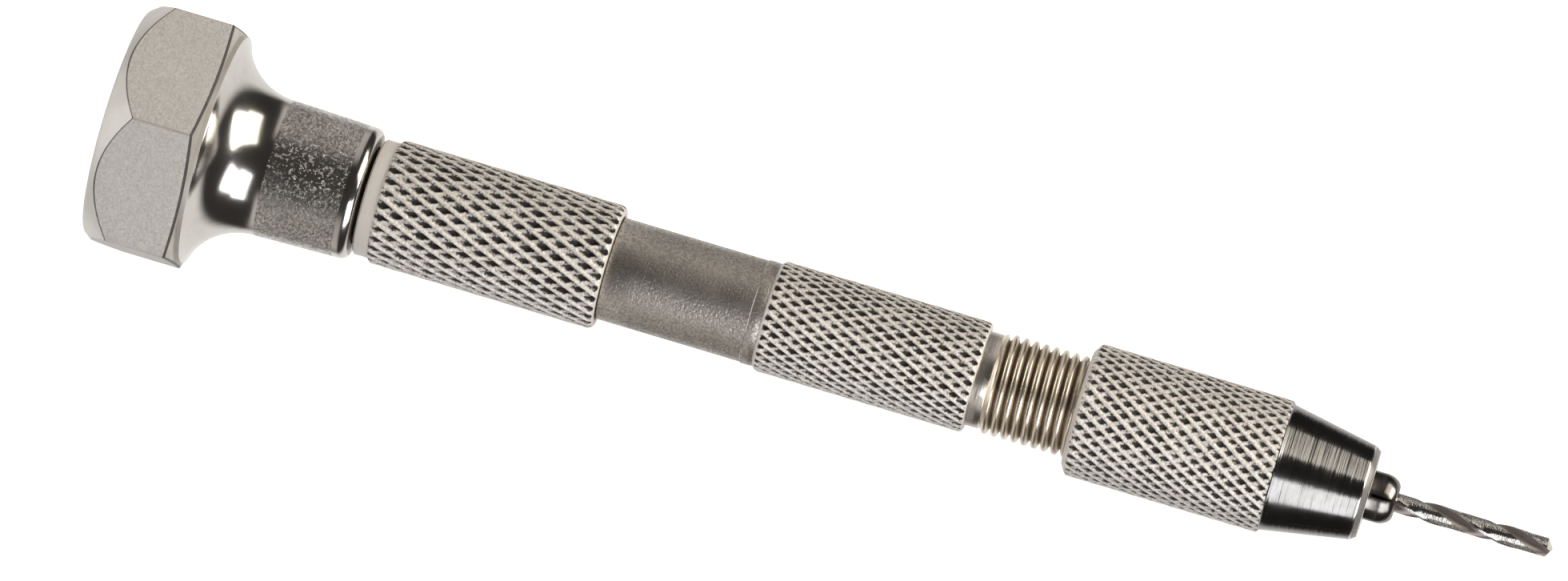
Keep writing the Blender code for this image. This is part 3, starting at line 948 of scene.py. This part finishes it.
high_ring = skin.join(last, skin.ring(86.7, 4.20, inside), 2)
skin.thread(low_ring, high_ring, FRONT_PITCH, female(3.42, 3.97), 0.40, 2, bore=True, phase=FRONT_PHASE)
nut = skin.build("knurled_chuck_nut", [nut_knurl, rim_finish, bore_finish, cone_finish, turned_nickel, mirror, nose_finish], crease=28)


# ------------------------------------------------------------------- collets


def collet(name, start, bores):
    end = start + 25.4
    front, rear = bores

    def tip(bore):
        rim = max(bore + 0.12, 1.1)
        line = [(0.04, bore), (0.0, bore + 0.05), (0.0, rim)]
        for i in range(1, 11):
            a = math.radians(9 * i)
            line.append((1.25 * (1 - math.cos(a)), rim + (1.95 - rim) * math.sin(a)))
        return line + [(2.15, 1.95), (2.21, 1.963), (5.15, 2.588), (5.21, 2.60)]

    middle = (start + end) / 2
    line = [(start + d, r) for d, r in tip(rear)]
    line += [(start + 9.0, 2.60), (end - 9.0, 2.60)]
    line += [(end - d, r) for d, r in reversed(tip(front))]
    line += [(middle + 0.3, front), (middle, rear)]
    obj = lathe_piece(name, line, 96, [gunmetal])
    for k in range(2):
        turn = math.radians(33.0 + 90 * k)
        cut(obj, f"{name}_slit_front_{k}", end - 9.0, end + 1, 0.25, 12.0, turn)
        cut(obj, f"{name}_slit_rear_{k}", start - 1, start + 9.0, 0.25, 12.0, turn + math.radians(45))
    settle(obj)
    return obj


jaw = collet("split_collet", 76.76, (0.88, 1.25))
spare = collet("stored_split_collet", 26.1, (0.50, 1.40))


# ----------------------------------------------------------------- drill bit

DRILL = 0.79375
LEAD = 11.5
POINT = 1 / math.tan(math.radians(59.0))
TIP = 114.55
FLUTES = 92.4
FLUTE_TURN = math.radians(18.0)
FLUTE_END = TIP - DRILL * POINT
SECTION = [
    (0, 0.95),
    (16, 0.955),
    (34, 0.96),
    (52, 0.96),
    (70, 0.96),
    (86, 0.965),
    (91, 0.99),
    (94, 1.0),
    (102, 1.0),
    (109, 1.0),
    (111.5, 0.93),
    (115, 0.79),
    (119.5, 0.65),
    (125, 0.54),
    (131, 0.46),
    (138, 0.42),
    (145, 0.43),
    (152, 0.49),
    (159, 0.58),
    (165, 0.68),
    (171, 0.79),
    (176, 0.89),
]
angle = np.radians([a + 180 * k for k in (0, 1) for a, _ in SECTION])
share = np.array([r for _, r in SECTION] * 2)
flute = np.array([0 if a < 110 else 1 for a, _ in SECTION] * 2)
skin = Skin()


def drill_ring(x, full, scale=1.0, point=False):
    r = DRILL * (1 + (share - 1) * full) * scale
    twist = TAU * (min(max(x, FLUTES), FLUTE_END) - FLUTE_END) / LEAD + FLUTE_TURN
    station = x
    if point:
        heel = np.where(flute == 0, np.clip((94 - np.degrees(angle) % 180) / 94, 0, 1), 0.0)
        station = TIP - r * POINT - 0.10 * heel * scale
    return skin.ring(station, r, angle + twist, np.clip((1 - share) * full * 1.5, 0, 1))


def drill_join(a, b):
    """Skins two sections, with the lands and the flutes in their own finishes."""
    keep = {3: len(skin.polys[3]), 4: len(skin.polys[4])}
    skin.join(a, b, 0)
    corners, u, v, slot = skin.polys[4][keep[4]]
    u = u - np.floor(u.min(axis=1, keepdims=True))
    skin.polys[4][keep[4]] = (corners, u, v, flute.copy())
    return b


last = skin.point(66.95)
last = skin.join(last, drill_ring(66.95, 0.0, 0.5), 0)
last = skin.join(last, drill_ring(66.95, 0.0, 0.84), 0)
last = skin.join(last, drill_ring(67.0, 0.0, 0.93), 0)
for x in (67.15, 75.2, 83.2, 91.8):
    last = skin.join(last, drill_ring(x, 0.0), 0)
steps = 132
for k in range(steps):
    x = FLUTES + (FLUTE_END - 0.05 - FLUTES) * k / (steps - 1)
    grow = min((x - FLUTES) / 1.8, 1.0)
    last = drill_join(last, drill_ring(x, grow * grow * (3 - 2 * grow)))
last = drill_join(last, drill_ring(FLUTE_END, 1.0, 1.0, True))
for scale in (0.7, 0.4, 0.15):
    last = skin.join(last, drill_ring(FLUTE_END, 1.0, scale, True), 2)
skin.join(last, skin.point(TIP - 0.02), 2)
bit = skin.build("twist_drill", [drill_land, drill_flute, drill_point], crease=30)


# ----------------------------------------------------- what each piece rides on

for piece, body, node, slot in (
    (head, "head", "swivel_head", "nickel_head"),
    (screw, "head", "pivot_screw", "plated_steel"),
    (thrust, "cap", "thrust_washer", "bearing_brass"),
    (sleeve, "cap", "rear_sleeve", "nickel_knurl"),
    (retainer, "cap_washer", "retaining_washer", "plated_steel"),
    (barrel, "barrel", "barrel", "nickel_knurl"),
    (nut, "nut", "chuck_nut", "nickel_polished"),
    (jaw, "collet", "collet", "hard_steel"),
    (spare, "spare", "spare_collet", "hard_steel"),
    (bit, "drill", "drill_bit", "drill_steel"),
):
    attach(piece, body)
    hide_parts(node)


# ------------------------------------------------------------ camera and studio

AXIS = Vector((1.0, 0.0, 0.0))
TILT = math.radians(57.0)
BACK = Vector((0.0, -math.cos(TILT), math.sin(TILT)))
UP = Vector((0.0, math.sin(TILT), math.cos(TILT)))
YAW = math.radians(4.2)
ROLL = math.radians(16.6)
VIEW = (math.cos(YAW) * BACK + math.sin(YAW) * AXIS).normalized()
along = (AXIS - VIEW * AXIS.dot(VIEW)).normalized()
right = math.cos(ROLL) * along + math.sin(ROLL) * UP
up = -math.sin(ROLL) * along + math.cos(ROLL) * UP
target = Vector((0.05279, 0.0, 0.0)) + 0.002151 * UP
distance, WIDTH = 0.80, 0.119756
LENS = 36.0 * distance / WIDTH

data = bpy.data.cameras.new("camera")
data.lens = LENS
data.sensor_width = 36.0
data.sensor_fit = "HORIZONTAL"
data.clip_start = 0.01
data.clip_end = 20.0
camera = bpy.data.objects.new("camera", data)
scene.collection.objects.link(camera)
pose = Matrix((right, up, VIEW)).transposed().to_4x4()
pose.translation = target + VIEW * distance
camera.matrix_world = pose
scene.camera = camera

# Floor: the tool lies on the front edge of its hexagon and on the rim of its nut.
slope = (-5.215 + 9.30) / (92.61 - 7.53)
floor_mesh = bpy.data.meshes.new("floor")
half = 1.6
corners = []
for sx, sy in ((-1, -1), (1, -1), (1, 1), (-1, 1)):
    x = 0.055 + sx * half
    corners.append((x, sy * half, (-9.30 - 0.02) * MM + (x - 7.53 * MM) * slope))
floor_mesh.from_pydata(corners, [], [(0, 1, 2, 3)])
floor = bpy.data.objects.new("floor", floor_mesh)
scene.collection.objects.link(floor)
g = Graph("floor_paper")
out = g.tree.nodes["Material Output"]
g.tree.nodes.remove(g.shader)
seen = g.node("LightPath").outputs["Is Camera Ray"]
behind = g.node("NewGeometry").outputs["Backfacing"]
place = g.node("TexCoord").outputs["Object"]
paper = g.mix(g.noise(place, 220.0, 4.0), rgb(0.90, 0.90, 0.90), rgb(0.94, 0.94, 0.94))
matte = g.node("BsdfDiffuse", {"Color": paper}).outputs[0]
glow = g.node("Emission", {"Color": rgb(1.0, 1.0, 1.0), "Strength": 0.80}).outputs[0]
lit = g.node("AddShader", {0: matte, 1: glow}).outputs[0]
clear = g.node("BsdfTransparent").outputs[0]
shown = g.math("MULTIPLY", seen, g.math("SUBTRACT", 1.0, behind))
g.tree.links.new(g.node("MixShader", {0: shown, 1: clear, 2: lit}).outputs[0], out.inputs["Surface"])
floor_mesh.materials.append(g.material)

# World: white where the camera looks past the floor, and for the metal a white
# sheet behind the tool, wider beyond its two ends, with a dark room round it.
world = scene.world or bpy.data.worlds.new("studio")
scene.world = world
world.use_nodes = True
tree = world.node_tree
tree.nodes.clear()
w = Graph.__new__(Graph)
w.tree = tree
out = tree.nodes.new("ShaderNodeOutputWorld")
ray = w.node("TexCoord").outputs["Generated"]


def share_along(direction):
    return w.node("VectorMath", {0: ray, 1: tuple(direction)}, operation="DOT_PRODUCT").outputs["Value"]


lengthwise = share_along(AXIS)
limit = w.math("MULTIPLY_ADD", w.math("ABSOLUTE", lengthwise), -0.47, 0.83)
sheet = w.spread(w.math("SUBTRACT", share_along(-BACK), limit), -0.16, 0.07, 0.0, 1.0, True)
walls = w.spread(w.math("ABSOLUTE", share_along(UP)), 0.62, 0.93, 0.0, 1.0, True)
walls = w.math("MULTIPLY", walls, w.spread(lengthwise, -0.10, 0.0, 1.0, 0.0, True))
room = w.mix(walls, rgb(0.035, 0.032, 0.030), rgb(0.70, 0.665, 0.63))
room = w.mix(sheet, room, rgb(0.90, 0.885, 0.86))
room = w.mix(w.node("LightPath").outputs["Is Camera Ray"], room, rgb(1.0, 1.0, 1.0))
sky = w.node("Background", {"Color": room, "Strength": 1.0})
tree.links.new(sky.outputs[0], out.inputs["Surface"])


def softbox(name, turned, towards_nose, size, radiance, colour, away=0.7):
    """A rectangular soft light. From straight in front of the tool it is turned about the tool's axis towards the picture's top, then swung towards the nose; size is its length that way and its width."""
    a, b = math.radians(turned), math.radians(towards_nose)
    toward = math.cos(b) * (math.cos(a) * BACK + math.sin(a) * UP) + math.sin(b) * AXIS
    x = (AXIS - toward * AXIS.dot(toward)).normalized()
    y = toward.cross(x)
    lamp = bpy.data.lights.new(name, "AREA")
    lamp.shape = "RECTANGLE"
    lamp.size, lamp.size_y = size
    lamp.color = colour
    lamp.energy = radiance * 4.0 * size[0] * size[1]
    obj = bpy.data.objects.new(name, lamp)
    scene.collection.objects.link(obj)
    m = Matrix((x, y, toward)).transposed().to_4x4()
    m.translation = Vector((0.055, 0.0, 0.0)) + toward * away
    obj.matrix_world = m
    obj.visible_camera = False
    return obj


softbox("key_low", -43.5, 21.5, (0.276, 0.575), 3.25, (0.975, 0.98, 1.0))
softbox("key_high", -43.5, 44.0, (0.285, 0.45), 2.6, (0.975, 0.98, 1.0))
softbox("fill_low", 55.5, 29.5, (0.290, 0.67), 1.75, (1.0, 0.94, 0.83))
softbox("fill_high", 53.0, 53.0, (0.300, 0.53), 5.6, (1.0, 0.965, 0.90))
softbox("palm_side", 0.0, -72.0, (0.60, 0.90), 1.3, (1.0, 0.985, 0.96))

scene.view_settings.view_transform = "Standard"
scene.view_settings.look = "None"
